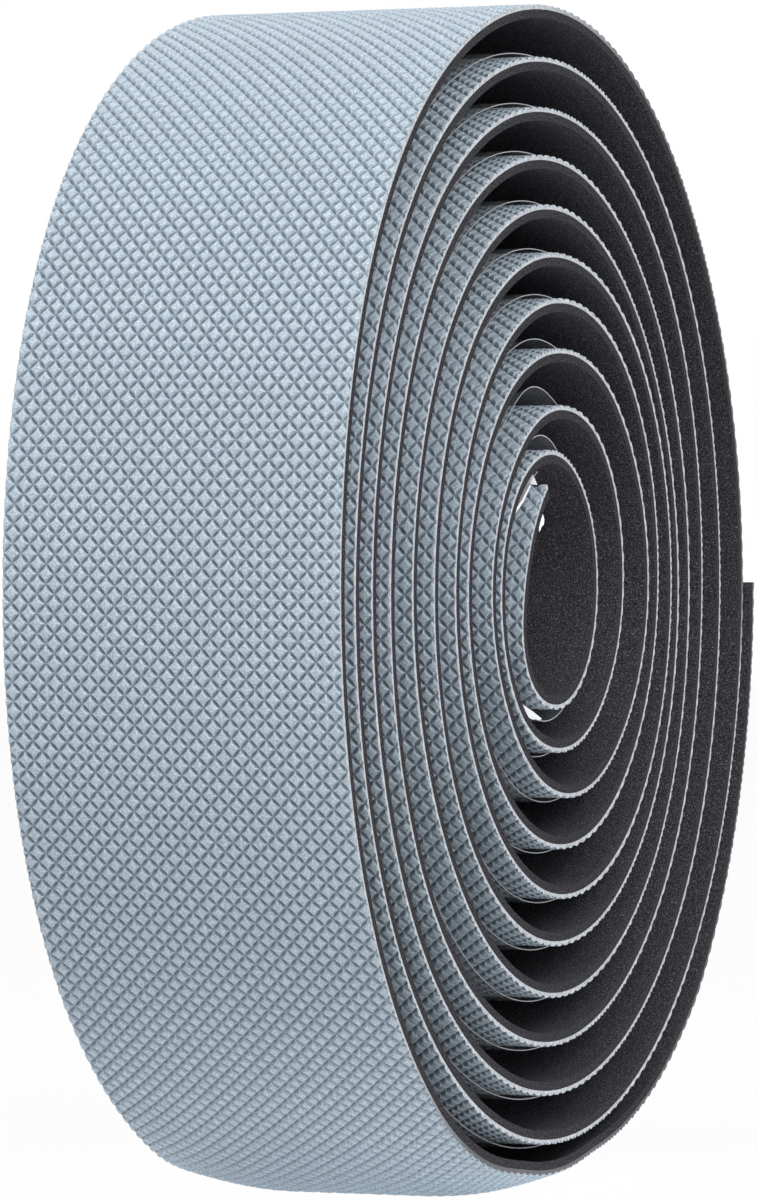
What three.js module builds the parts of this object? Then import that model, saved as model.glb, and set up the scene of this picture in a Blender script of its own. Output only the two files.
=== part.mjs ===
// A roll of handlebar tape, wound loosely round an open middle and standing on its rim.
// The tape is a cushioned laminate: a thin embossed cover outside, soft black foam inside.
// A thin release film lies on the cover between the turns.
// Millimetres, +Z up. The winding axis runs along Y, and the origin is under it, on the flat spot.

import * as THREE from 'three';

// Tape and film
const tapeWidth = 30;
const coverThickness = 0.45;
const foamThickness = 0.75;
const filmThickness = 0.15;
const filmInset = 2.3;
const filmClearance = 0.3;

// The soft roll has settled on its rim, on a flat spot of this length.
const flatSpotLength = 17;

// Where the tape and the film start and stop, in degrees round the winding from three o'clock.
const innerEndAngle = 108;
const filmInnerEndAngle = 88;
const lastBottomAngle = 10 * 360 + 270;
const outerEndAngle = 11 * 360;
const filmOuterEndAngle = 10 * 360 - 4;

// Longest facet along the winding, and the widest angle that one may turn through.
const facetLength = 5.5;
const facetAngle = 15;

// Radius to the outside of the innermost turn, every eighth of a turn from twelve o'clock.
const spokeStep = 45;
const firstSpokeAngle = 90;
const innermostRadii = [9.8, 8.5, 8.75, 10.6, 10.5, 10.3, 10.3, 11.1];

// Each further turn lies one tape and one film further out, with this much slack at each spoke.
const slackByTurn = [
  [0.45, 2.85, 3.4, 1.85, 1.85, 3.15, 4.8, 4.4],
  [2.05, 0.35, 0.3, 0.15, 1.85, 3.55, 4.75, 3.5],
  [3.05, 3.65, 3.7, 3.75, 2.7, 1.55, 0.7, 2.05],
  [2.45, 1.75, 1.0, 1.35, 2.4, 2.55, 1.65, 1.35],
  [2.05, 2.95, 2.95, 3.05, 2.2, 0.95, 0.0, 0.35],
  [2.15, 2.65, 2.9, 2.35, 2.55, 1.75, 1.0, 1.65],
  [2.25, 3.15, 3.05, 3.65, 2.25, 1.75, 1.75, 2.55],
  [2.25, 2.25, 2.05, 2.05, 2.35, 2.85, 3.1, 2.45],
  [2.45, 2.05, 1.75, 2.05, 2.35, 3.25, 4.5, 3.15],
  [2.65, 2.25, 1.2, 1.85, 3.1, 1.75, 1.25],
];

const tapeThickness = coverThickness + foamThickness;
const filmSpace = filmClearance + filmThickness + filmClearance;

function windingRadii() {
  const radii = [...innermostRadii];
  const perTurn = innermostRadii.length;
  for (const slacks of slackByTurn) {
    const inner = radii.slice(-perTurn);
    slacks.forEach((slack, spoke) => radii.push(inner[spoke] + tapeThickness + filmSpace + slack));
  }
  return radii;
}

const spokeRadii = windingRadii();
const spokeAngles = spokeRadii.map((_, spoke) => firstSpokeAngle + spoke * spokeStep);
const radiusCurve = new THREE.CubicInterpolant(spokeAngles, spokeRadii, 1);

// Outside of the cover at an angle, seen from the open face, with the winding axis at the origin.
function pointOnWinding(angle) {
  const radius = radiusCurve.evaluate(angle)[0];
  const turned = THREE.MathUtils.degToRad(angle);
  return new THREE.Vector2(radius * Math.cos(turned), radius * Math.sin(turned));
}

// The flat spot runs between two points of the last turn, both brought to the height of the upper one.
const bottomRadius = radiusCurve.evaluate(lastBottomAngle)[0];
const flatHalfAngle = THREE.MathUtils.radToDeg(Math.asin(flatSpotLength / 2 / bottomRadius));
const flatStartAngle = lastBottomAngle - flatHalfAngle;
const flatEndAngle = lastBottomAngle + flatHalfAngle;
const axisHeight = -Math.max(pointOnWinding(flatStartAngle).y, pointOnWinding(flatEndAngle).y);

function anglesBetween(start, end) {
  const angles = [start];
  let angle = start;
  while (angle < end) {
    const radius = radiusCurve.evaluate(angle)[0];
    const step = Math.min(facetAngle, THREE.MathUtils.radToDeg(facetLength / radius));
    angle = end - angle < 1.5 * step ? end : angle + step;
    angles.push(angle);
  }
  return angles;
}

function standingPoint(angle) {
  const point = pointOnWinding(angle);
  point.y = Math.max(point.y, -axisHeight);
  return point;
}

// Outward direction at each point, square to the line through its two neighbours.
function outwardNormals(points) {
  return points.map((_, i) => {
    const before = points[Math.max(i - 1, 0)];
    const after = points[Math.min(i + 1, points.length - 1)];
    const along = new THREE.Vector2().subVectors(after, before).normalize();
    return new THREE.Vector2(along.y, -along.x);
  });
}

// A layer is a closed band between two distances from the outside of the cover.
function layerGeometry(angles, outerOffset, innerOffset, width) {
  const points = angles.map(standingPoint);
  const normals = outwardNormals(points);
  const offsetLine = (offset) => points.map((point, i) => point.clone().addScaledVector(normals[i], offset));
  const outline = [...offsetLine(outerOffset), ...offsetLine(innerOffset).reverse()];
  const section = new THREE.Shape(outline);
  const geometry = new THREE.ExtrudeGeometry(section, { depth: width, bevelEnabled: false });
  return geometry.translate(0, 0, -width / 2);
}

const coverMaterial = new THREE.MeshStandardMaterial({ color: 0xafbdc8, roughness: 0.55, metalness: 0 });
const foamMaterial = new THREE.MeshStandardMaterial({ color: 0x2c2c2f, roughness: 0.95, metalness: 0 });
const filmMaterial = new THREE.MeshStandardMaterial({ color: 0xf0f0f4, roughness: 0.25, metalness: 0 });

function layerMesh(name, geometry, material) {
  const mesh = new THREE.Mesh(geometry, material);
  mesh.name = name;
  return mesh;
}

const tapeAngles = [
  ...anglesBetween(innerEndAngle, flatStartAngle),
  ...anglesBetween(flatEndAngle, outerEndAngle),
];
const filmAngles = [
  ...anglesBetween(filmInnerEndAngle, innerEndAngle).slice(0, -1),
  ...tapeAngles.filter((angle) => angle < filmOuterEndAngle),
];

const roll = new THREE.Group();
roll.name = 'handlebar_tape_roll';
roll.rotation.x = Math.PI / 2;
roll.position.z = axisHeight;
roll.add(
  layerMesh('cover_layer', layerGeometry(tapeAngles, 0, -coverThickness, tapeWidth), coverMaterial),
  layerMesh('foam_backing', layerGeometry(tapeAngles, -coverThickness, -tapeThickness, tapeWidth), foamMaterial),
  layerMesh(
    'release_film',
    layerGeometry(filmAngles, filmClearance + filmThickness, filmClearance, tapeWidth - 2 * filmInset),
    filmMaterial
  )
);

const part = new THREE.Group();
part.add(roll);

export default part;
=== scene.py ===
# A roll of handlebar tape, wound loosely round an open middle and standing on its rim.
import math

import bmesh
import bpy
import numpy as np
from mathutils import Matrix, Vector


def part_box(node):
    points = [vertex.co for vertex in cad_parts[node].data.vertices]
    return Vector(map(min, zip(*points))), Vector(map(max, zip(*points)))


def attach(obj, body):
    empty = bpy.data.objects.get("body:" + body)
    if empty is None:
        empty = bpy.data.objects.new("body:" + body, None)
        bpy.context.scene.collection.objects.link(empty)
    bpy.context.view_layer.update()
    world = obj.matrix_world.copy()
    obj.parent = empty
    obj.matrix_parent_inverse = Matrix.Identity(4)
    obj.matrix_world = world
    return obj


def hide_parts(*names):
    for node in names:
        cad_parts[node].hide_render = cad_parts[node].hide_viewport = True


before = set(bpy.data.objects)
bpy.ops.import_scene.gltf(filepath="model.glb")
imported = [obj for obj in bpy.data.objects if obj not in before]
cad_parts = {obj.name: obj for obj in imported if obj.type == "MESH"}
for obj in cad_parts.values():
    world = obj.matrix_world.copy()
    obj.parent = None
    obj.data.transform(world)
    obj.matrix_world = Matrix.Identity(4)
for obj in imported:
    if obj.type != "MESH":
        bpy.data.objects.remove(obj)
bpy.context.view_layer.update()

# Lengths are in millimetres and angles in degrees, and meshes are written in metres.
MM = 0.001

# The tape and the film that lies on it
COVER_THICKNESS = 0.45
FOAM_THICKNESS = 0.75
FILM_THICKNESS = 0.15
FILM_CLEARANCE = 0.3
TAPE_THICKNESS = COVER_THICKNESS + FOAM_THICKNESS
FILM_SPACE = FILM_CLEARANCE + FILM_THICKNESS + FILM_CLEARANCE

# The winding, as the CAD part has it: radius to the outside of the cover, every eighth of a turn
SPOKE_STEP = 45
FIRST_SPOKE = 90
INNERMOST_RADII = [9.8, 8.5, 8.75, 10.6, 10.5, 10.3, 10.3, 11.1]
SLACK_BY_TURN = [
    [0.45, 2.85, 3.4, 1.85, 1.85, 3.15, 4.8, 4.4],
    [2.05, 0.35, 0.3, 0.15, 1.85, 3.55, 4.75, 3.5],
    [3.05, 3.65, 3.7, 3.75, 2.7, 1.55, 0.7, 2.05],
    [2.45, 1.75, 1.0, 1.35, 2.4, 2.55, 1.65, 1.35],
    [2.05, 2.95, 2.95, 3.05, 2.2, 0.95, 0.0, 0.35],
    [2.15, 2.65, 2.9, 2.35, 2.55, 1.75, 1.0, 1.65],
    [2.25, 3.15, 3.05, 3.65, 2.25, 1.75, 1.75, 2.55],
    [2.25, 2.25, 2.05, 2.05, 2.35, 2.85, 3.1, 2.45],
    [2.45, 2.05, 1.75, 2.05, 2.35, 3.25, 4.5, 3.15],
    [2.65, 2.25, 1.2, 1.85, 3.1, 1.75, 1.25],
]
INNER_END = 105.5
LAST_TURN = 10 * 360
OUTER_END = LAST_TURN + 360.8
LAST_BOTTOM = LAST_TURN + 270
FLAT_SPOT_LENGTH = 17

# The path starts a little before the tape, for the film's inner end, and turns this far from point to point.
PATH_START = 80
PATH_STEP = 0.5
# How softly the tape flattens where it meets the floor
FLOOR_SOFTNESS = 0.15

# The diamonds pressed into the cover. The embossing roller stood slightly askew.
DIAMOND_ALONG = 1.64
DIAMOND_ACROSS = 1.55
ASKEW_ALONG = 0.0142
ASKEW_ACROSS = 0.0258
PAD_SHARE = 0.54
PAD_EDGE_DEPTH = 0.05
GROOVE_DEPTH = 0.38
CROSSING_DEPTH = 0.29
# How much painted shade the leather gets where grooves cross, beside 1 along the grooves' middles
CROSSING_SHADE = 0.55
# The slitting knife has pressed the relief flatter along the cut sides: to this share, over this width
EDGE_RELIEF = 0.62
EDGE_WIDTH = 0.9
UNEVENNESS = 0.035
UNEVENNESS_SPACING = 0.6
# Columns of diamonds beyond each end of a length, which are trimmed off
SPARE_COLUMNS = 2
# A point this close to a cutting plane lies on it, in metres.
ON_PLANE = 1e-7

# The cover is made in lengths that meet on the right of the roll. The last one starts under the loose outer
# end, at this angle.
OUTER_START = LAST_TURN - 8
COVER_LENGTHS = {
    "cover_inner_turns": (INNER_END, 3 * 360),
    "cover_fourth_and_fifth_turn": (3 * 360, 5 * 360),
    "cover_sixth_turn": (5 * 360, 6 * 360),
    "cover_seventh_turn": (6 * 360, 7 * 360),
    "cover_eighth_turn": (7 * 360, 8 * 360),
    "cover_ninth_turn": (8 * 360, 9 * 360),
    "cover_second_last_turn": (9 * 360, OUTER_START),
    "cover_outer_turn": (OUTER_START, OUTER_END),
}

# Where the tape has settled off its round path: the angle, then how far its middle, its near edge and its
# far edge lie further out. The inner end has straightened, and the last turn sags under the roll's weight.
SETTLING = [
    (96, 0.5, 0.5, 0.5),
    (107, 0.3, 0.3, 0.3),
    (120, 0, 0, 0),
    (134, -0.2, -0.2, -0.2),
    (160, -0.4, -0.4, -0.4),
    (200, 0, 0, 0),
    (LAST_TURN + 200, 0, 0, 0),
    (LAST_TURN + 225, 0.2, 0, -0.2),
    (LAST_TURN + 240, 0.3, -0.2, -0.4),
    (LAST_TURN + 250, 0.25, -1.0, -0.5),
    (LAST_TURN + 260, 0.1, -2.2, -1.2),
    (LAST_TURN + 270, -0.7, -2.5, -1.25),
    (LAST_TURN + 280, -0.95, -2.8, -1.05),
    (LAST_TURN + 290, -0.85, -2.0, -0.75),
    (LAST_TURN + 300, -0.6, -1.1, -0.4),
    (LAST_TURN + 315, -0.35, 0, -0.1),
    (LAST_TURN + 335, 0, 0, 0),
]
# Each edge bends over this width, and the changes are smoothed over this many degrees.
BEND_WIDTH = 9
SMOOTHING = 8
# The cover's underside is cut along the tape at these shares of the bending width, so that it can bend too.
BEND_CUTS = (1, 2 / 3, 1 / 3)

# Painted shade darkens parts of the last turn's cut edge: how much, at angles of the last turn
EDGE_SHADE_ANGLES = [-10, 2, 68, 96, 225, 245]
EDGE_SHADE_AMOUNTS = [0, 1, 1, 0, 0, 1]

# The film starts before the tape and ends under the last turn. It is thinner than the room left for it.
FILM_START = 96
FILM_END = LAST_TURN - 4
FILM_SHEET = 0.08
# Where the film's near edge stands off the cover: middle of the rise, half its span, how high the edge
# stands, and how much higher the film bulges just inside it
FILM_RISES = [
    (250, 36, 0.5, 0.7),
    (286, 40, 0.7, 0.2),
    (453, 32, 0.95, 0),
    (810, 30, 1.3, 0),
    (1170, 25, 0.5, 0),
]
RISE_WIDTH = 6
# The film wanders towards the open face in its first turns: by how much, at these angles
WANDER_ANGLES = [96, 107, 119, 131, 145, 180, 240, 490, 560]
WANDER_AMOUNTS = [0.9, 0.82, 0.65, 0.24, 0, 0.3, 1.1, 1.1, 0]
# Loose bits of the film: its folded end with a bright fold and a turned corner, a torn scrap inside the
# tape, and a curled lip under the innermost turn. Each point gives its place to the right of the axis,
# across the tape and above the axis.
FILM_FLAP = [(-7.2, 13.6, 6.6), (-6.5, 13.6, 8.4), (-5.6, 13.6, 9.3), (-3.9, 13.6, 10.15), (-2.9, 13.6, 10.2),
             (-3.1, 13.6, 9.1), (-5.1, 13.6, 7.7)]
FILM_FOLD = [(-3.4, 13.7, 9.2), (-3.25, 13.7, 9.05), (-5.1, 13.7, 7.65), (-7.3, 13.7, 6.5),
             (-7.45, 13.7, 6.7), (-5.4, 13.7, 7.8)]
FILM_CORNER = [(-1.9, 13.3, 10.3), (-1.9, 13.8, 9.2), (-2.2, 13.2, 9.25)]
FILM_SCRAP = [(-3.3, 14.75, 6.95), (-2.7, 14.75, 6.15), (-2.85, 14.75, 5.7), (-3.35, 14.75, 5.55),
              (-3.75, 14.7, 5.05), (-3.85, 14.7, 5.6), (-3.6, 14.75, 6.1)]
FILM_LIP = [(-5.7, 13.8, -9.94), (-2.8, 13.8, -10.67), (-0.76, 13.8, -11.3), (-1.16, 13.8, -11.36),
            (-3.1, 13.8, -11.3), (-4.7, 13.8, -10.96), (-5.4, 13.8, -10.5)]

# Degrees from facet to facet along the foam and the film, and points across the parts of them that bend
STRIP_STEP = 2
FOAM_FAR_POINTS = 6
FOAM_NEAR_POINTS = 8
FILM_NEAR_POINTS = 9

# An edge sharper than this stays crisp when the surfaces are shaded smooth.
CREASE_ANGLE = 32

# The colour sockets of a Mix node: its two inputs and its result
MIX_A = 6
MIX_B = 7
MIX_RESULT = 2

# How far from the middle of the roll's foot the paper glows, how far it glows in full, and how strongly
GLOW_RADIUS = 60
GLOW_FULL_RADIUS = 20
GLOW_STRENGTH = 0.4

# The camera stands as the photograph's did, level with the winding axis.
CAMERA_AZIMUTH = -68.2
CAMERA_DISTANCE = 600
CAMERA_LENS = 203.4
SENSOR_LONG_SIDE = 36
PHOTO_WIDTH = 757
PHOTO_HEIGHT = 1200
AXIS_IN_PHOTO = (399, 590)

# Soft lamps: name, place round the roll and above it in degrees, distance and side of the square panel in
# metres, and watts
LAMPS = [
    ("key", -116, 57, 1.0, 0.7, 3.8),
    ("front", -37, 34, 1.0, 0.7, 5.7),
    ("top", -90, 75, 1.0, 0.7, 2.9),
    ("edge_light", 30, 10, 1.0, 0.7, 1.8),
]
# Light from all round the roll, and how much of the paper is plain white to the camera. The rest shows the
# roll's shadow.
SOFT_LIGHT = 0.06
PAPER_WHITE = 0.96
# Half the floor's side, in metres
FLOOR_REACH = 3

cover_low, cover_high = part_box("cover_layer")
film_low, film_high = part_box("release_film")
TAPE_WIDTH = (cover_high.y - cover_low.y) / MM
FILM_WIDTH = (film_high.y - film_low.y) / MM


def winding_radii():
    radii = list(INNERMOST_RADII)
    for slacks in SLACK_BY_TURN:
        inner = radii[-len(INNERMOST_RADII):]
        radii += [radius + TAPE_THICKNESS + FILM_SPACE + slack for radius, slack in zip(inner, slacks)]
    return np.array(radii)


spoke_radii = winding_radii()


def radius_at(angles):
    """A smooth curve through the spokes, with its ends running on straight."""
    first = 2 * spoke_radii[0] - spoke_radii[1]
    last = 2 * spoke_radii[-1] - spoke_radii[-2]
    knots = np.concatenate([[first], spoke_radii, [last]])
    place = np.maximum((np.asarray(angles, float) - FIRST_SPOKE) / SPOKE_STEP, 0)
    spoke = np.clip(place.astype(int), 0, len(spoke_radii) - 2)
    t = place - spoke
    before, here, after, beyond = (knots[spoke + i] for i in range(4))
    slope = (after - before) * t
    bend = (2 * before - 5 * here + 4 * after - beyond) * t**2
    twist = (3 * here - before - 3 * after + beyond) * t**3
    return here + (slope + bend + twist) / 2


def winding_points(angles):
    """Points round the winding axis, seen from the open face: to the right and up."""
    radii = radius_at(angles)
    turned = np.radians(angles)
    return radii * np.cos(turned), radii * np.sin(turned)


def height_of_axis():
    half = math.degrees(math.asin(FLAT_SPOT_LENGTH / 2 / radius_at(LAST_BOTTOM)))
    ends = winding_points(np.array([LAST_BOTTOM - half, LAST_BOTTOM + half]))[1]
    return -ends.max()


AXIS_HEIGHT = height_of_axis()


def standing_points(angles):
    """The winding over the floor, before its last turn flattens against it."""
    across, up = winding_points(angles)
    return across, up + AXIS_HEIGHT


path_angles = np.arange(PATH_START, OUTER_END + PATH_STEP / 2, PATH_STEP)
path_across, path_height = standing_points(path_angles)
path_lengths = np.concatenate([[0], np.cumsum(np.hypot(np.diff(path_across), np.diff(path_height)))])


def length_at(angle):
    return np.interp(angle, path_angles, path_lengths)


def angle_at(length):
    return np.interp(length, path_lengths, path_angles)


def winding_curve():
    curve = bpy.data.curves.new("winding", "CURVE")
    curve.dimensions = "3D"
    spline = curve.splines.new("POLY")
    spline.points.add(len(path_angles) - 1)
    rows = np.zeros((len(path_angles), 4))
    rows[:, 0] = path_across * MM
    rows[:, 2] = path_height * MM
    rows[:, 3] = 1
    spline.points.foreach_set("co", rows.ravel())
    return link(bpy.data.objects.new("winding", curve))


def link(obj):
    bpy.context.collection.objects.link(obj)
    return obj


def add_node(tree, kind, inputs=None, **settings):
    """Adds a node. Each input is a value, or another node's output that is linked to it."""
    node = tree.nodes.new(kind)
    for name, value in settings.items():
        setattr(node, name, value)
    for name, value in (inputs or {}).items():
        if isinstance(value, bpy.types.NodeSocket):
            tree.links.new(value, node.inputs[name])
        else:
            node.inputs[name].default_value = value
    return node


def new_tree(name, inputs):
    """A geometry tree with named inputs. Returns the tree and its input node."""
    tree = bpy.data.node_groups.new(name, "GeometryNodeTree")
    for label, kind in inputs.items():
        tree.interface.new_socket(label, in_out="INPUT", socket_type=kind)
    tree.interface.new_socket("Geometry", in_out="OUTPUT", socket_type="NodeSocketGeometry")
    return tree, tree.nodes.new("NodeGroupInput").outputs


def run_tree(obj, tree, values):
    """Runs a geometry tree on an object and leaves its result as the object's plain mesh."""
    modifier = obj.modifiers.new(tree.name, "NODES")
    modifier.node_group = tree
    for socket in tree.interface.items_tree:
        if socket.name in values:
            modifier[socket.identifier] = values[socket.name]
    depsgraph = bpy.context.evaluated_depsgraph_get()
    mesh = bpy.data.meshes.new_from_object(
        obj.evaluated_get(depsgraph), preserve_all_data_layers=True, depsgraph=depsgraph
    )
    obj.modifiers.remove(modifier)
    obj.data = mesh
    return obj


def emboss_tree():
    """Lays diamond cells side by side in columns and rows, joins them and sets them askew."""
    tree, given = new_tree("emboss", {
        "Geometry": "NodeSocketGeometry",
        "Cell": "NodeSocketObject",
        "Pitch Along": "NodeSocketFloat",
        "Pitch Across": "NodeSocketFloat",
        "First Column": "NodeSocketInt",
        "Columns": "NodeSocketInt",
        "Rows": "NodeSocketInt",
        "Askew Along": "NodeSocketFloat",
        "Askew Across": "NodeSocketFloat",
        "Unevenness": "NodeSocketFloat",
        "Unevenness Spacing": "NodeSocketFloat",
        "Join Distance": "NodeSocketFloat",
        "Material": "NodeSocketMaterial",
    })

    def maths(operation, *values):
        return add_node(tree, "ShaderNodeMath", dict(enumerate(values)), operation=operation).outputs[0]

    index = add_node(tree, "GeometryNodeInputIndex").outputs[0]
    count = maths("MULTIPLY", given["Columns"], given["Rows"])
    column = maths("FLOOR", maths("DIVIDE", index, given["Rows"]))
    row = maths("SUBTRACT", index, maths("MULTIPLY", column, given["Rows"]))
    along = maths("MULTIPLY", maths("ADD", column, given["First Column"]), given["Pitch Along"])
    drift = maths("DIVIDE", maths("MULTIPLY", along, given["Askew Along"]), given["Pitch Across"])
    middle_row = maths("DIVIDE", maths("SUBTRACT", given["Rows"], 1), 2)
    row_on_tape = maths("ADD", maths("SUBTRACT", row, middle_row), maths("FLOOR", drift))
    across = maths("MULTIPLY", row_on_tape, given["Pitch Across"])
    corner = add_node(tree, "ShaderNodeCombineXYZ", {"X": along, "Y": across})
    points = add_node(tree, "GeometryNodePoints", {"Count": count, "Position": corner.outputs[0]})
    cell = add_node(tree, "GeometryNodeObjectInfo", {"Object": given["Cell"]})
    cells = add_node(tree, "GeometryNodeInstanceOnPoints", {
        "Points": points.outputs[0],
        "Instance": cell.outputs["Geometry"],
    })
    realized = add_node(tree, "GeometryNodeRealizeInstances", {"Geometry": cells.outputs[0]})
    joined = add_node(tree, "GeometryNodeMergeByDistance", {
        "Geometry": realized.outputs[0],
        "Distance": given["Join Distance"],
    })
    position = add_node(tree, "GeometryNodeInputPosition").outputs[0]
    apart = add_node(tree, "ShaderNodeSeparateXYZ", {0: position}).outputs
    askew = add_node(tree, "ShaderNodeCombineXYZ", {
        "X": maths("ADD", apart["X"], maths("MULTIPLY", apart["Y"], given["Askew Across"])),
        "Y": maths("SUBTRACT", apart["Y"], maths("MULTIPLY", apart["X"], given["Askew Along"])),
        "Z": apart["Z"],
    })
    noise = add_node(tree, "ShaderNodeTexNoise", {
        "Vector": position,
        "Scale": maths("DIVIDE", 1, given["Unevenness Spacing"]),
        "Detail": 1,
    })
    centred = add_node(tree, "ShaderNodeVectorMath", {0: noise.outputs["Color"], 1: (0.5, 0.5, 0.5)},
                       operation="SUBTRACT")
    uneven = add_node(tree, "ShaderNodeVectorMath", {0: centred.outputs[0], "Scale": given["Unevenness"]},
                      operation="SCALE")
    placed = add_node(tree, "GeometryNodeSetPosition", {
        "Geometry": joined.outputs[0],
        "Position": askew.outputs[0],
        "Offset": uneven.outputs[0],
    })
    finished = add_node(tree, "GeometryNodeSetMaterial", {
        "Geometry": placed.outputs[0],
        "Material": given["Material"],
    })
    add_node(tree, "NodeGroupOutput", {0: finished.outputs[0]})
    return tree


def wind_tree():
    """Winds a flat strip round the path.

    X is the length along the path, Y the place across it and Z the height above it.
    """
    tree, given = new_tree("wind", {
        "Geometry": "NodeSocketGeometry",
        "Path": "NodeSocketObject",
        "Floor Softness": "NodeSocketFloat",
        "Crease Angle": "NodeSocketFloat",
        "Face Material": "NodeSocketMaterial",
        "Cut Material": "NodeSocketMaterial",
    })
    position = add_node(tree, "GeometryNodeInputPosition").outputs[0]
    apart = add_node(tree, "ShaderNodeSeparateXYZ", {0: position}).outputs
    path = add_node(tree, "GeometryNodeObjectInfo", {"Object": given["Path"]})
    sample = add_node(tree, "GeometryNodeSampleCurve", {
        "Curves": path.outputs["Geometry"],
        "Length": apart["X"],
    }, mode="LENGTH")
    outward = add_node(tree, "ShaderNodeVectorMath", {0: (0, 1, 0), 1: sample.outputs["Tangent"]},
                       operation="CROSS_PRODUCT")
    unit = add_node(tree, "ShaderNodeVectorMath", {0: outward.outputs[0]}, operation="NORMALIZE")
    raised = add_node(tree, "ShaderNodeVectorMath", {
        0: unit.outputs[0],
        1: apart["Z"],
        2: sample.outputs["Position"],
    }, operation="MULTIPLY_ADD")
    sideways = add_node(tree, "ShaderNodeVectorMath", {
        0: (0, -1, 0),
        1: apart["Y"],
        2: raised.outputs[0],
    }, operation="MULTIPLY_ADD")
    hanging = add_node(tree, "ShaderNodeSeparateXYZ", {0: sideways.outputs[0]}).outputs
    resting = add_node(tree, "ShaderNodeMath", {0: hanging["Z"], 1: 0.0, 2: given["Floor Softness"]},
                       operation="SMOOTH_MAX")
    standing = add_node(tree, "ShaderNodeCombineXYZ", {
        "X": hanging["X"],
        "Y": hanging["Y"],
        "Z": resting.outputs[0],
    })
    wound = add_node(tree, "GeometryNodeSetPosition", {
        "Geometry": given["Geometry"],
        "Position": standing.outputs[0],
    })
    angle = add_node(tree, "GeometryNodeInputMeshEdgeAngle").outputs[0]
    sharp = add_node(tree, "ShaderNodeMath", {0: angle, 1: given["Crease Angle"]}, operation="GREATER_THAN")
    smooth = add_node(tree, "GeometryNodeSetShadeSmooth", {
        "Geometry": wound.outputs[0],
        "Shade Smooth": True,
    }, domain="FACE")
    creased = add_node(tree, "GeometryNodeSetShadeSmooth", {
        "Geometry": smooth.outputs[0],
        "Selection": sharp.outputs[0],
        "Shade Smooth": False,
    }, domain="EDGE")
    realized = add_node(tree, "GeometryNodeRealizeInstances", {"Geometry": creased.outputs[0]})
    faced = add_node(tree, "GeometryNodeSetMaterial", {
        "Geometry": realized.outputs[0],
        "Material": given["Face Material"],
    })
    cut = add_node(tree, "GeometryNodeInputNamedAttribute", {"Name": "cut"}, data_type="BOOLEAN")
    finished = add_node(tree, "GeometryNodeSetMaterial", {
        "Geometry": faced.outputs[0],
        "Selection": cut.outputs[0],
        "Material": given["Cut Material"],
    })
    add_node(tree, "NodeGroupOutput", {0: finished.outputs[0]})
    return tree


def diamond_cell():
    """One pad with a quarter pad at each corner, and the grooves between them.

    The grooves are shallower where they cross. Each point carries painted shade, 1 along the grooves'
    middles.
    """
    middle = np.array([DIAMOND_ALONG / 2, DIAMOND_ACROSS / 2])
    corners = [middle * place for place in ((0, 0), (2, 0), (2, 2), (0, 2))]
    crossings = [middle * place for place in ((1, 0), (2, 1), (1, 2), (0, 1))]
    vertices, grooves, faces = [], [], []

    def add(place, depth, groove_shade=0.0):
        vertices.append((place[0] * MM, place[1] * MM, -depth * MM))
        grooves.append(groove_shade)
        return len(vertices) - 1

    crossed = [add(place, CROSSING_DEPTH, CROSSING_SHADE) for place in crossings]
    bottoms = [add((crossings[i] + crossings[(i + 1) % 4]) / 2, GROOVE_DEPTH, 1.0) for i in range(4)]

    def side(crown, i, first, second):
        """One side of a pad, from crossing i to the next, or the other way round for a quarter pad."""
        faces.append((crown, first, second))
        j = (i + 1) % 4
        start, end = (crossed[i], crossed[j]) if crown == full_crown else (crossed[j], crossed[i])
        faces.append((first, start, bottoms[i]))
        faces.append((first, bottoms[i], second))
        faces.append((bottoms[i], end, second))

    full_crown = add(middle, 0)
    rim = [add(middle + PAD_SHARE * (place - middle), PAD_EDGE_DEPTH) for place in crossings]
    for i in range(4):
        side(full_crown, i, rim[i], rim[(i + 1) % 4])
    for i, corner in enumerate(corners):
        before = (i - 1) % 4
        crown = add(corner, 0)
        first = add(corner + PAD_SHARE * (crossings[i] - corner), PAD_EDGE_DEPTH)
        second = add(corner + PAD_SHARE * (crossings[before] - corner), PAD_EDGE_DEPTH)
        side(crown, before, first, second)
    mesh = bpy.data.meshes.new("diamond_cell")
    mesh.from_pydata(vertices, [], faces)
    # Painted shade along the grooves, read by the leather's colour
    mesh.attributes.new("groove_shade", "FLOAT", "POINT").data.foreach_set("value", grooves)
    return link(bpy.data.objects.new("diamond_cell", mesh))


def trim(bm, start, end, half_width):
    """Cuts the embossed sheet to its length and width."""
    for place, direction in (
        ((start, 0, 0), (-1, 0, 0)),
        ((end, 0, 0), (1, 0, 0)),
        ((0, -half_width, 0), (0, -1, 0)),
        ((0, half_width, 0), (0, 1, 0)),
    ):
        everything = bm.verts[:] + bm.edges[:] + bm.faces[:]
        bmesh.ops.bisect_plane(bm, geom=everything, dist=ON_PLANE, plane_co=place, plane_no=direction,
                               clear_outer=True)


def flatten_sides(bm, half_width):
    """Presses the relief flatter towards the cut sides."""
    for v in bm.verts:
        inwards = min((half_width - abs(v.co.y)) / (EDGE_WIDTH * MM), 1)
        v.co.z *= EDGE_RELIEF + (1 - EDGE_RELIEF) * inwards


def split_underside(bm, faces, half_width):
    """Cuts the underside's long triangles along the tape, so that it can bend with the sides."""
    for share in BEND_CUTS:
        for side in (-1, 1):
            edges = dict.fromkeys(e for f in faces for e in f.edges)
            verts = dict.fromkeys(v for f in faces for v in f.verts)
            place = side * (half_width - BEND_WIDTH * share * MM)
            result = bmesh.ops.bisect_plane(bm, geom=[*verts, *edges, *faces], dist=ON_PLANE,
                                            plane_co=(0, place, 0), plane_no=(0, 1, 0))
            faces = [part for part in result["geom"] if isinstance(part, bmesh.types.BMFace)]


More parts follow.
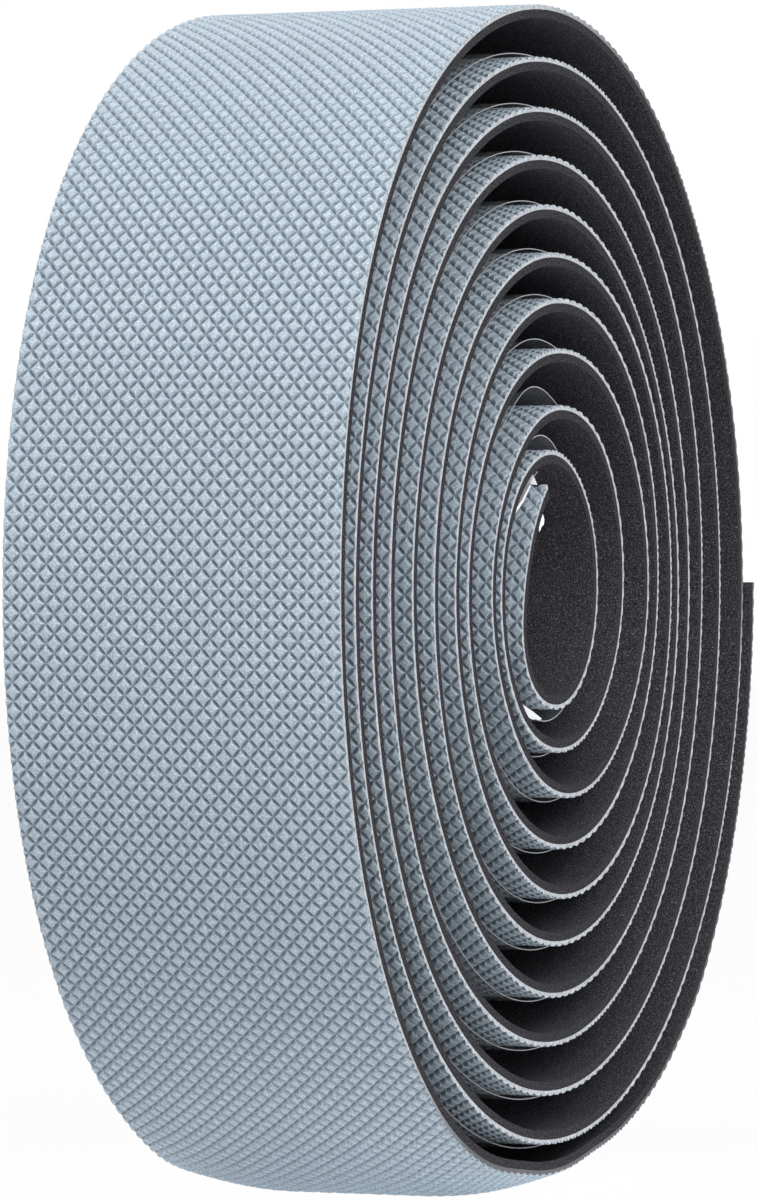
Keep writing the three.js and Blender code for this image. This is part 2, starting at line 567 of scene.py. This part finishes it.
def close_sheet(bm, half_width, depth):
    """Gives the embossed sheet its cut sides, its ends and a plain underside."""
    tolerance = 1e-6
    cut = bm.faces.layers.bool.new("cut")
    # The grooves' painted shade: the lower corners of the cut sides get none
    groove_shade = bm.verts.layers.float["groove_shade"]
    lower_sides = []
    for side in (-half_width, half_width):
        edges = [
            e for e in bm.edges
            if e.is_boundary and all(abs(v.co.y - side) < tolerance for v in e.verts)
        ]
        made = bmesh.ops.extrude_edge_only(bm, edges=edges)["geom"]
        lower = sorted((v for v in made if isinstance(v, bmesh.types.BMVert)), key=lambda v: v.co.x)
        for v in lower:
            v.co.z = -depth
            v[groove_shade] = 0
        for face in made:
            if isinstance(face, bmesh.types.BMFace):
                face[cut] = True
        lower_sides.append(lower)
    near, far = lower_sides
    underside = []
    i = j = 0
    while i < len(near) - 1 or j < len(far) - 1:
        along_near = j == len(far) - 1 or (i < len(near) - 1 and near[i + 1].co.x <= far[j + 1].co.x)
        if along_near:
            underside.append(bm.faces.new((near[i], near[i + 1], far[j])))
            i += 1
        else:
            underside.append(bm.faces.new((near[i], far[j + 1], far[j])))
            j += 1
    split_underside(bm, underside, half_width)
    for which in (0, -1):
        place = near[which].co.x
        rim = [v for v in bm.verts if abs(v.co.x - place) < tolerance and v.is_boundary]
        top = sorted((v for v in rim if v.co.z > -depth + tolerance), key=lambda v: v.co.y)
        bottom = sorted((v for v in rim if v.co.z <= -depth + tolerance), key=lambda v: -v.co.y)
        end = bm.faces.new([*top, *bottom])
        end[cut] = True
    bmesh.ops.recalc_face_normals(bm, faces=bm.faces[:])


def settled_along(column):
    """One column of the settling, smoothed, with a value for each step of the path."""
    table = np.array(SETTLING)
    plain = np.interp(path_angles, table[:, 0], table[:, column])
    window = np.hanning(round(SMOOTHING / PATH_STEP) + 2)
    around = np.pad(plain, len(window) // 2, mode="edge")
    return np.convolve(around, window / window.sum(), mode="same")[len(window) // 2:][:len(plain)]


def settled_at(lengths, across):
    """How far the tape has settled outwards, at each length and each place across it."""
    angles = angle_at(lengths)
    middle, near, far = (np.interp(angles, path_angles, settled_along(column)) for column in (1, 2, 3))
    bend_start = TAPE_WIDTH / 2 - BEND_WIDTH
    to_near = np.clip((across - bend_start) / BEND_WIDTH, 0, 1) ** 2
    to_far = np.clip((-across - bend_start) / BEND_WIDTH, 0, 1) ** 2
    return middle + (near - middle) * to_near + (far - middle) * to_far


def flat_points(mesh):
    """A flat mesh's points in millimetres: the length along the tape, the place across it and the height."""
    flat = np.empty(len(mesh.vertices) * 3, np.float32)
    mesh.vertices.foreach_get("co", flat)
    return flat.reshape(-1, 3) / MM


def settle(mesh):
    """Moves a flat mesh off its round path where the tape has settled."""
    flat = flat_points(mesh)
    flat[:, 2] += settled_at(flat[:, 0], flat[:, 1])
    mesh.vertices.foreach_set("co", flat.ravel() * MM)


def mark_edge_shade(mesh):
    """Writes how much painted shade the cut edge has at each point."""
    turned = angle_at(flat_points(mesh)[:, 0]) - LAST_TURN
    edge_shade = np.interp(turned, EDGE_SHADE_ANGLES, EDGE_SHADE_AMOUNTS)
    mesh.attributes.new("edge_shade", "FLOAT", "POINT").data.foreach_set("value", edge_shade)


def cover_sheet(name, start, end, cell, tree, material):
    """A flat length of embossed cover, closed all round."""
    first_column = math.floor(start / DIAMOND_ALONG) - SPARE_COLUMNS
    last_column = math.ceil(end / DIAMOND_ALONG) + SPARE_COLUMNS
    sheet = link(bpy.data.objects.new(name, bpy.data.meshes.new(name)))
    run_tree(sheet, tree, {
        "Cell": cell,
        "Pitch Along": DIAMOND_ALONG * MM,
        "Pitch Across": DIAMOND_ACROSS * MM,
        "First Column": first_column,
        "Columns": last_column - first_column,
        "Rows": 2 * math.ceil(TAPE_WIDTH / DIAMOND_ACROSS / 2) + 1,
        "Askew Along": ASKEW_ALONG,
        "Askew Across": ASKEW_ACROSS,
        "Unevenness": UNEVENNESS * MM,
        "Unevenness Spacing": UNEVENNESS_SPACING * MM,
        "Join Distance": DIAMOND_ALONG * MM / 100,
        "Material": material,
    })
    bm = bmesh.new()
    bm.from_mesh(sheet.data)
    trim(bm, start * MM, end * MM, TAPE_WIDTH / 2 * MM)
    flatten_sides(bm, TAPE_WIDTH / 2 * MM)
    close_sheet(bm, TAPE_WIDTH / 2 * MM, COVER_THICKNESS * MM)
    bm.to_mesh(sheet.data)
    bm.free()
    settle(sheet.data)
    mark_edge_shade(sheet.data)
    return sheet


def strip(name, lengths, across, outer, inner):
    """A closed flat strip.

    outer and inner are its heights, with a row for each length and a column for each place across.
    """
    rows, columns = len(lengths), np.shape(across)[-1]
    grid = np.zeros((rows, columns, 3))
    grid[..., 0] = np.reshape(lengths, (rows, 1))
    grid[..., 1] = across
    top, bottom = grid.copy(), grid.copy()
    top[..., 2] = outer
    bottom[..., 2] = inner
    vertices = np.concatenate([top.reshape(-1, 3), bottom.reshape(-1, 3)]) * MM
    upper = np.arange(rows * columns).reshape(rows, columns)
    lower = upper + rows * columns

    def quads(a, b, c, d):
        return np.stack([a, b, c, d], axis=-1).reshape(-1, 4)

    faces = np.concatenate([
        quads(upper[:-1, :-1], upper[1:, :-1], upper[1:, 1:], upper[:-1, 1:]),
        quads(lower[:-1, :-1], lower[:-1, 1:], lower[1:, 1:], lower[1:, :-1]),
        quads(upper[:-1, 0], lower[:-1, 0], lower[1:, 0], upper[1:, 0]),
        quads(upper[:-1, -1], upper[1:, -1], lower[1:, -1], lower[:-1, -1]),
        quads(upper[0, :-1], upper[0, 1:], lower[0, 1:], lower[0, :-1]),
        quads(upper[-1, :-1], lower[-1, :-1], lower[-1, 1:], upper[-1, 1:]),
    ])
    faces_on_top_and_bottom = 2 * (rows - 1) * (columns - 1)
    mesh = bpy.data.meshes.new(name)
    mesh.from_pydata(vertices.tolist(), [], faces.tolist())
    cut = np.arange(len(faces)) >= faces_on_top_and_bottom
    mesh.attributes.new("cut", "BOOLEAN", "FACE").data.foreach_set("value", cut)
    return link(bpy.data.objects.new(name, mesh))


def linear(hex_colour):
    """An sRGB hex colour as Blender's linear colour."""
    channels = [int(hex_colour[i:i + 2], 16) / 255 for i in (1, 3, 5)]
    return (*[c / 12.92 if c <= 0.04045 else ((c + 0.055) / 1.055) ** 2.4 for c in channels], 1)


def new_material(name):
    """An empty material. Returns it and its tree."""
    material = bpy.data.materials.new(name)
    material.use_nodes = True
    tree = material.node_tree
    tree.nodes.clear()
    return material, tree


def per_metre(spacing):
    """Noise scale for a pattern whose spots lie this many millimetres apart."""
    return 1 / (spacing * MM)


def embossed_leather():
    """Pressed polyurethane leather: satin, with a fine grain. Its grooves carry painted shade."""
    material, tree = new_material("embossed_polyurethane_leather")
    place = add_node(tree, "ShaderNodeTexCoord").outputs["Object"]
    groove_shade = add_node(tree, "ShaderNodeAttribute", attribute_name="groove_shade").outputs["Fac"]
    grain = add_node(tree, "ShaderNodeTexNoise", {"Vector": place, "Scale": per_metre(0.15), "Detail": 2,
                                                  "Roughness": 0.6})
    mottle = add_node(tree, "ShaderNodeTexNoise", {"Vector": place, "Scale": per_metre(9), "Detail": 2})
    pad = add_node(tree, "ShaderNodeValToRGB", {"Fac": grain.outputs["Fac"]})
    pad.color_ramp.elements[0].position = 0.36
    pad.color_ramp.elements[0].color = linear("#A3B3C0")
    pad.color_ramp.elements[1].position = 0.64
    pad.color_ramp.elements[1].color = linear("#D6E4EF")
    worn = add_node(tree, "ShaderNodeMapRange", {
        "Value": mottle.outputs["Fac"],
        "From Min": 0.4,
        "From Max": 0.75,
        "To Max": 0.15,
    })
    aged = add_node(tree, "ShaderNodeMix", {
        "Factor": worn.outputs[0],
        MIX_A: pad.outputs[0],
        MIX_B: linear("#AAB7C2"),
    }, data_type="RGBA")
    # Painted shade: towards the grooves' middles the leather turns dark slate blue, less where they cross
    painted_groove_shade = add_node(tree, "ShaderNodeMapRange", {
        "Value": groove_shade,
        "From Min": 0.15,
        "From Max": 0.85,
        "To Max": 0.72,
    }, interpolation_type="SMOOTHSTEP")
    colour = add_node(tree, "ShaderNodeMix", {
        "Factor": painted_groove_shade.outputs[0],
        MIX_A: aged.outputs[MIX_RESULT],
        MIX_B: linear("#5B6975"),
    }, data_type="RGBA")
    rough = add_node(tree, "ShaderNodeMapRange", {
        "Value": grain.outputs["Fac"],
        "From Min": 0.3,
        "From Max": 0.7,
        "To Min": 0.62,
        "To Max": 0.5,
    })
    bump = add_node(tree, "ShaderNodeBump", {"Height": grain.outputs["Fac"], "Strength": 0.35,
                                             "Distance": 0.05 * MM})
    shader = add_node(tree, "ShaderNodeBsdfPrincipled", {
        "Base Color": colour.outputs[MIX_RESULT],
        "Roughness": rough.outputs[0],
        "Normal": bump.outputs[0],
        "IOR": 1.5,
        "Specular IOR Level": 0.4,
    })
    add_node(tree, "ShaderNodeOutputMaterial", {"Surface": shader.outputs[0]})
    return material


def cut_leather():
    """The cover's cut edge: paler than its face, with a slight knife grain. Parts of the last turn's edge
    carry painted shade.
    """
    material, tree = new_material("cut_polyurethane_edge")
    place = add_node(tree, "ShaderNodeTexCoord").outputs["Object"]
    grain = add_node(tree, "ShaderNodeTexNoise", {"Vector": place, "Scale": per_metre(0.35), "Detail": 2})
    plain_edge = add_node(tree, "ShaderNodeValToRGB", {"Fac": grain.outputs["Fac"]})
    plain_edge.color_ramp.elements[0].position = 0.35
    plain_edge.color_ramp.elements[0].color = linear("#B2B8BF")
    plain_edge.color_ramp.elements[1].position = 0.65
    plain_edge.color_ramp.elements[1].color = linear("#E0E4E9")
    # Painted shade: parts of the last turn's cut edge turn dark
    edge_shade = add_node(tree, "ShaderNodeAttribute", attribute_name="edge_shade").outputs["Fac"]
    colour = add_node(tree, "ShaderNodeMix", {
        "Factor": edge_shade,
        MIX_A: plain_edge.outputs[0],
        MIX_B: linear("#67666A"),
    }, data_type="RGBA")
    shader = add_node(tree, "ShaderNodeBsdfPrincipled", {
        "Base Color": colour.outputs[MIX_RESULT],
        "Roughness": 0.7,
        "IOR": 1.5,
    })
    add_node(tree, "ShaderNodeOutputMaterial", {"Surface": shader.outputs[0]})
    return material


def foam_skin():
    """Closed-cell EVA foam, split with a blade: matt, nearly black. A few open cells catch the light."""
    material, tree = new_material("split_eva_foam")
    place = add_node(tree, "ShaderNodeTexCoord").outputs["Object"]
    cells = add_node(tree, "ShaderNodeTexNoise", {"Vector": place, "Scale": per_metre(0.13), "Detail": 2,
                                                  "Roughness": 0.6})
    colour = add_node(tree, "ShaderNodeValToRGB", {"Fac": cells.outputs["Fac"]})
    colour.color_ramp.elements[0].position = 0.36
    colour.color_ramp.elements[0].color = linear("#282629")
    colour.color_ramp.elements[1].position = 0.6
    colour.color_ramp.elements[1].color = linear("#57555A")
    open_cell = colour.color_ramp.elements.new(0.72)
    open_cell.color = linear("#A09FA4")
    bump = add_node(tree, "ShaderNodeBump", {"Height": cells.outputs["Fac"], "Strength": 0.5,
                                             "Distance": 0.05 * MM})
    shader = add_node(tree, "ShaderNodeBsdfPrincipled", {
        "Base Color": colour.outputs[0],
        "Roughness": 0.92,
        "Normal": bump.outputs[0],
        "IOR": 1.45,
        "Specular IOR Level": 0.05,
    })
    add_node(tree, "ShaderNodeOutputMaterial", {"Surface": shader.outputs[0]})
    return material


def cut_foam():
    """The foam's cut edge: dark and speckled, because the blade opens its cells."""
    material, tree = new_material("cut_eva_foam")
    place = add_node(tree, "ShaderNodeTexCoord").outputs["Object"]
    cells = add_node(tree, "ShaderNodeTexNoise", {"Vector": place, "Scale": per_metre(0.2), "Detail": 2,
                                                  "Roughness": 0.6})
    colour = add_node(tree, "ShaderNodeValToRGB", {"Fac": cells.outputs["Fac"]})
    colour.color_ramp.elements[0].position = 0.38
    colour.color_ramp.elements[0].color = linear("#262528")
    colour.color_ramp.elements[1].position = 0.68
    colour.color_ramp.elements[1].color = linear("#5A595E")
    bump = add_node(tree, "ShaderNodeBump", {"Height": cells.outputs["Fac"], "Strength": 0.6,
                                             "Distance": 0.08 * MM})
    shader = add_node(tree, "ShaderNodeBsdfPrincipled", {
        "Base Color": colour.outputs[0],
        "Roughness": 0.9,
        "Normal": bump.outputs[0],
        "IOR": 1.45,
        "Specular IOR Level": 0.05,
    })
    add_node(tree, "ShaderNodeOutputMaterial", {"Surface": shader.outputs[0]})
    return material


def milky_film():
    """Thin polyethylene release film: nearly clear, with a faint milky bloom and a dull shine."""
    material, tree = new_material("polyethylene_film")
    place = add_node(tree, "ShaderNodeTexCoord").outputs["Object"]
    ripple = add_node(tree, "ShaderNodeTexNoise", {"Vector": place, "Scale": per_metre(6), "Detail": 1})
    bump = add_node(tree, "ShaderNodeBump", {"Height": ripple.outputs["Fac"], "Strength": 0.3,
                                             "Distance": 0.3 * MM})
    shader = add_node(tree, "ShaderNodeBsdfPrincipled", {
        "Base Color": linear("#E2E3E6"),
        "Roughness": 0.4,
        "Normal": bump.outputs[0],
        "IOR": 1.5,
        "Specular IOR Level": 0.25,
        "Alpha": 0.12,
    })
    add_node(tree, "ShaderNodeOutputMaterial", {"Surface": shader.outputs[0]})
    return material


def film_edge():
    """The film's cut edge, which gathers the light of the whole sheet."""
    material, tree = new_material("polyethylene_film_edge")
    shader = add_node(tree, "ShaderNodeBsdfPrincipled", {
        "Base Color": linear("#D6D8DB"),
        "Roughness": 0.45,
        "IOR": 1.5,
    })
    add_node(tree, "ShaderNodeOutputMaterial", {"Surface": shader.outputs[0]})
    return material


def clouded_film():
    """The film's flap: two layers of film that cloud the dark foam behind them."""
    material, tree = new_material("doubled_polyethylene_film")
    place = add_node(tree, "ShaderNodeTexCoord").outputs["Object"]
    cloud = add_node(tree, "ShaderNodeTexNoise", {"Vector": place, "Scale": per_metre(1.2), "Detail": 2})
    colour = add_node(tree, "ShaderNodeValToRGB", {"Fac": cloud.outputs["Fac"]})
    colour.color_ramp.elements[0].position = 0.35
    colour.color_ramp.elements[0].color = linear("#79747B")
    colour.color_ramp.elements[1].position = 0.65
    colour.color_ramp.elements[1].color = linear("#B4AFB7")
    shader = add_node(tree, "ShaderNodeBsdfPrincipled", {
        "Base Color": colour.outputs[0],
        "Roughness": 0.4,
        "IOR": 1.5,
    })
    add_node(tree, "ShaderNodeOutputMaterial", {"Surface": shader.outputs[0]})
    return material


def folded_film():
    """Crumpled release film. Its layers hide what is behind them, and it glows faintly: painted light, though
    it is no lamp.
    """
    material, tree = new_material("glowing_folded_polyethylene_film")
    shader = add_node(tree, "ShaderNodeBsdfPrincipled", {
        "Base Color": linear("#F8F9FC"),
        "Roughness": 0.4,
        "IOR": 1.5,
        # Painted light: a faint glow in place of the light its layers would pass on
        "Emission Color": linear("#F4F6FC"),
        "Emission Strength": 0.35,
    })
    add_node(tree, "ShaderNodeOutputMaterial", {"Surface": shader.outputs[0]})
    return material


def finish_piece(obj, node):
    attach(obj, "root")
    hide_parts(node)


def stations(start, end):
    """Lengths along the tape between two angles, a facet apart."""
    count = math.ceil((end - start) / STRIP_STEP) + 1
    return length_at(np.linspace(start, end, count))


def wind_piece(flat, path, winding, face, cut):
    """Winds a flat piece into its place on the roll."""
    run_tree(flat, winding, {
        "Path": path,
        "Floor Softness": FLOOR_SOFTNESS * MM,
        "Crease Angle": math.radians(CREASE_ANGLE),
        "Face Material": face,
        "Cut Material": cut,
    })


def make_cover(path, winding):
    cell = diamond_cell()
    emboss = emboss_tree()
    face, cut = embossed_leather(), cut_leather()
    for name, (start, end) in COVER_LENGTHS.items():
        sheet = cover_sheet(name, length_at(start), length_at(end), cell, emboss, face)
        wind_piece(sheet, path, winding, face, cut)
        finish_piece(sheet, "cover_layer")
    bpy.data.objects.remove(cell)


def make_foam(path, winding):
    half = TAPE_WIDTH / 2
    across = np.concatenate([
        np.linspace(-half, BEND_WIDTH - half, FOAM_FAR_POINTS),
        np.linspace(half - BEND_WIDTH, half, FOAM_NEAR_POINTS),
    ])
    lengths = stations(INNER_END, OUTER_END)
    foam = strip("foam_lining", lengths, across, -COVER_THICKNESS, -TAPE_THICKNESS)
    settle(foam.data)
    wind_piece(foam, path, winding, foam_skin(), cut_foam())
    finish_piece(foam, "foam_backing")


def film_height(lengths, across):
    """How high the film stands above the cover, at each length and each place across it."""
    angles = angle_at(lengths)[:, None]
    to_edge = np.clip((across - FILM_WIDTH / 2) / RISE_WIDTH + 1, 0, 1)
    height = np.full((len(lengths), len(across)), FILM_CLEARANCE)
    for middle, half_span, rise, bulge in FILM_RISES:
        away = np.clip((angles - middle) / half_span, -1, 1)
        height += (rise * to_edge**2 + bulge * np.sin(to_edge * math.pi)) * np.cos(away * math.pi / 2) ** 2
    return height


def loose_bit(name, outline, material):
    """A small closed sheet of film with the given outline."""
    count = len(outline)
    front = np.array([(x, -across, AXIS_HEIGHT + z) for x, across, z in outline])
    back = front + (FILM_SHEET, FILM_SHEET, 0)
    faces = [list(range(count)), list(range(2 * count - 1, count - 1, -1))]
    faces += [(i, i + count, (i + 1) % count + count, (i + 1) % count) for i in range(count)]
    mesh = bpy.data.meshes.new(name)
    mesh.from_pydata((np.concatenate([front, back]) * MM).tolist(), [], faces)
    bm = bmesh.new()
    bm.from_mesh(mesh)
    bmesh.ops.recalc_face_normals(bm, faces=bm.faces[:])
    bm.to_mesh(mesh)
    bm.free()
    mesh.materials.append(material)
    return link(bpy.data.objects.new(name, mesh))


def make_film(path, winding):
    half = FILM_WIDTH / 2
    across = np.concatenate([[-half, -half / 2, 0], np.linspace(half - RISE_WIDTH, half, FILM_NEAR_POINTS)])
    lengths = stations(FILM_START, FILM_END)
    height = film_height(lengths, across)
    wander = np.interp(angle_at(lengths), WANDER_ANGLES, WANDER_AMOUNTS)
    film = strip("film_strip", lengths, across + wander[:, None], height + FILM_SHEET, height)
    settle(film.data)
    wind_piece(film, path, winding, milky_film(), film_edge())
    finish_piece(film, "release_film")
    folded = folded_film()
    for name, outline, material in (
        ("film_flap", FILM_FLAP, clouded_film()),
        ("film_fold", FILM_FOLD, folded),
        ("film_corner", FILM_CORNER, folded),
        ("film_scrap", FILM_SCRAP, folded),
        ("film_lip", FILM_LIP, folded),
    ):
        finish_piece(loose_bit(name, outline, material), "release_film")


def make_camera():
    data = bpy.data.cameras.new("camera")
    data.sensor_width = SENSOR_LONG_SIDE
    data.lens = CAMERA_LENS
    data.shift_x = (PHOTO_WIDTH / 2 - AXIS_IN_PHOTO[0]) / PHOTO_HEIGHT
    data.shift_y = (AXIS_IN_PHOTO[1] - PHOTO_HEIGHT / 2) / PHOTO_HEIGHT
    camera = link(bpy.data.objects.new("camera", data))
    azimuth = math.radians(CAMERA_AZIMUTH)
    camera.location = (
        math.sin(azimuth) * CAMERA_DISTANCE * MM,
        -math.cos(azimuth) * CAMERA_DISTANCE * MM,
        AXIS_HEIGHT * MM,
    )
    camera.rotation_euler = (math.pi / 2, 0, azimuth)
    bpy.context.scene.camera = camera


def white_backdrop_rays(tree):
    """1 for rays that should see plain white: from the camera, a reflection or through the film."""
    rays = add_node(tree, "ShaderNodeLightPath").outputs
    seen = add_node(tree, "ShaderNodeMath", {0: rays["Is Camera Ray"], 1: rays["Is Glossy Ray"]},
                    operation="MAXIMUM")
    return add_node(tree, "ShaderNodeMath", {0: seen.outputs[0], 1: rays["Is Transmission Ray"]},
                    operation="MAXIMUM").outputs[0]


def make_world():
    world = bpy.data.worlds.new("studio")
    world.use_nodes = True
    tree = world.node_tree
    tree.nodes.clear()
    soft = add_node(tree, "ShaderNodeBackground", {"Color": linear("#F4F6FA"), "Strength": SOFT_LIGHT})
    white = add_node(tree, "ShaderNodeBackground", {"Color": linear("#FFFFFF"), "Strength": 1})
    mixed = add_node(tree, "ShaderNodeMixShader", {0: white_backdrop_rays(tree), 1: soft.outputs[0],
                                                   2: white.outputs[0]})
    add_node(tree, "ShaderNodeOutputWorld", {"Surface": mixed.outputs[0]})
    bpy.context.scene.world = world


def make_floor():
    """White paper that shows the roll's shadow. Near the roll it glows upwards, like a light table."""
    mesh = bpy.data.meshes.new("floor")
    corners = [(x * FLOOR_REACH, y * FLOOR_REACH, 0) for x, y in ((-1, -1), (1, -1), (1, 1), (-1, 1))]
    mesh.from_pydata(corners, [], [(0, 1, 2, 3)])
    floor = link(bpy.data.objects.new("floor", mesh))
    material, tree = new_material("paper_backdrop")
    place = add_node(tree, "ShaderNodeTexCoord").outputs["Object"]
    paper = add_node(tree, "ShaderNodeBsdfDiffuse", {"Color": linear("#F2F2F2")})
    from_roll = add_node(tree, "ShaderNodeVectorMath", {0: place}, operation="LENGTH").outputs["Value"]
    near = add_node(tree, "ShaderNodeMapRange", {
        "Value": from_roll,
        "From Min": GLOW_RADIUS * MM,
        "From Max": GLOW_FULL_RADIUS * MM,
        "To Max": GLOW_STRENGTH,
    })
    glow = add_node(tree, "ShaderNodeEmission", {"Color": linear("#FFFFFF"), "Strength": near.outputs[0]})
    lit = add_node(tree, "ShaderNodeAddShader", {0: paper.outputs[0], 1: glow.outputs[0]})
    white = add_node(tree, "ShaderNodeEmission", {"Color": linear("#FFFFFF"), "Strength": 1})
    share = add_node(tree, "ShaderNodeMath", {
        0: white_backdrop_rays(tree),
        1: PAPER_WHITE,
    }, operation="MULTIPLY")
    mixed = add_node(tree, "ShaderNodeMixShader", {
        0: share.outputs[0],
        1: lit.outputs[0],
        2: white.outputs[0],
    })
    add_node(tree, "ShaderNodeOutputMaterial", {"Surface": mixed.outputs[0]})
    mesh.materials.append(material)


def make_lamps():
    target = np.array([0, 0, AXIS_HEIGHT * MM])
    for name, azimuth, elevation, distance, side, watts in LAMPS:
        data = bpy.data.lights.new(name, "AREA")
        data.shape = "SQUARE"
        data.size = side
        data.energy = watts
        lamp = link(bpy.data.objects.new(name, data))
        a, e = math.radians(azimuth), math.radians(elevation)
        direction = np.array([math.sin(a) * math.cos(e), -math.cos(a) * math.cos(e), math.sin(e)])
        lamp.location = target + direction * distance
        lamp.rotation_euler = (math.pi / 2 - e, 0, a)


bpy.context.scene.view_settings.view_transform = "Standard"
path_object = winding_curve()
wind = wind_tree()
make_cover(path_object, wind)
make_foam(path_object, wind)
make_film(path_object, wind)
bpy.data.objects.remove(path_object)
make_camera()
make_world()
make_floor()
make_lamps()
